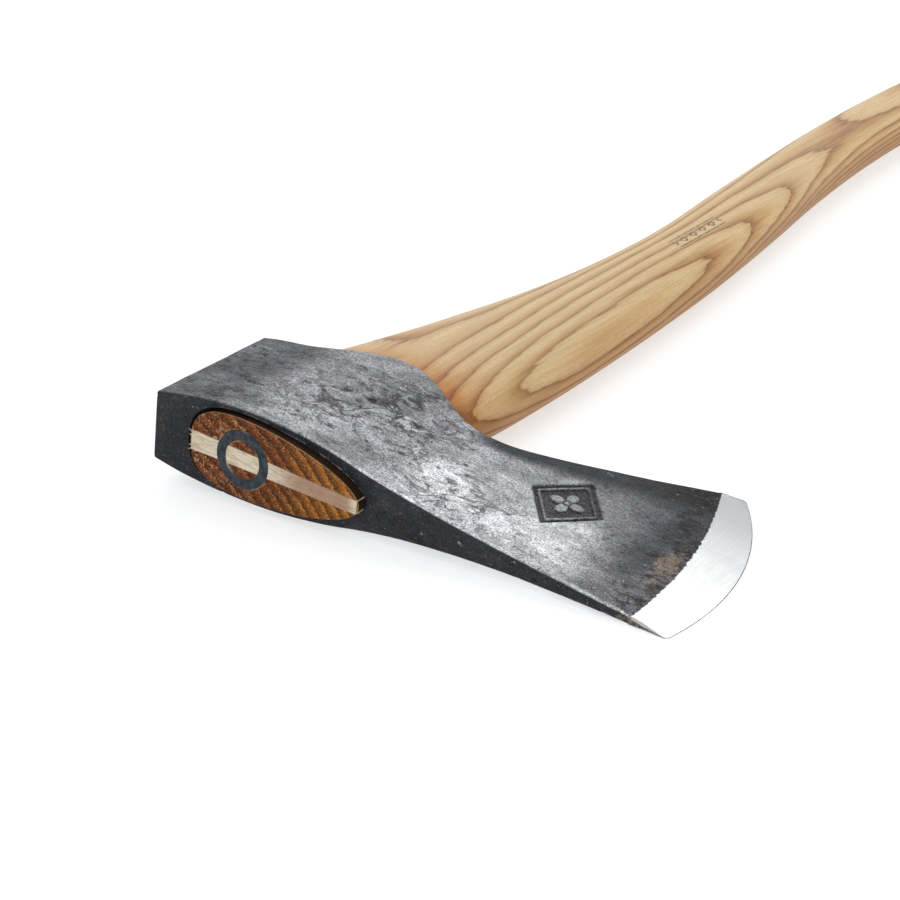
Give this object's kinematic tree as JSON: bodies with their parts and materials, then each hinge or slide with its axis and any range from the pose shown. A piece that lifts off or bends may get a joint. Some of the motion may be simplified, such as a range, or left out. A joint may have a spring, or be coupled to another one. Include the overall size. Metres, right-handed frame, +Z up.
{
  "type": "felling axe",
  "caption": "Forged axe with a flat poll, curved cutting edge and dropped lugs, wedged on a curved wooden handle that ends in a swelled knob, lying on its side",
  "frame": {"origin": "on the floor under the middle of the axe as it lies on its side", "axes": "+Y along the handle from the head to the knob, +X from the poll towards the cutting edge, +Z up"},
  "size_m": [0.1956, 0.7034, 0.0352],
  "materials": {
    "forged_steel": "mottled dark forge scale, wire-brushed on the cheeks, with a polished bevel at the edge",
    "handle_wood": "satin oiled ash with bold brown growth rings, dark red-brown end grain",
    "wedge_wood": "dry pale hardwood, sawn end grain",
    "wedge_steel": "dull blue-grey steel"
  },
  "bodies": {
    "root": {"axe_head": "forged_steel", "handle": "handle_wood", "wooden_wedge": "wedge_wood", "ring_wedge": "wedge_steel"}
  },
  "joints": []
}
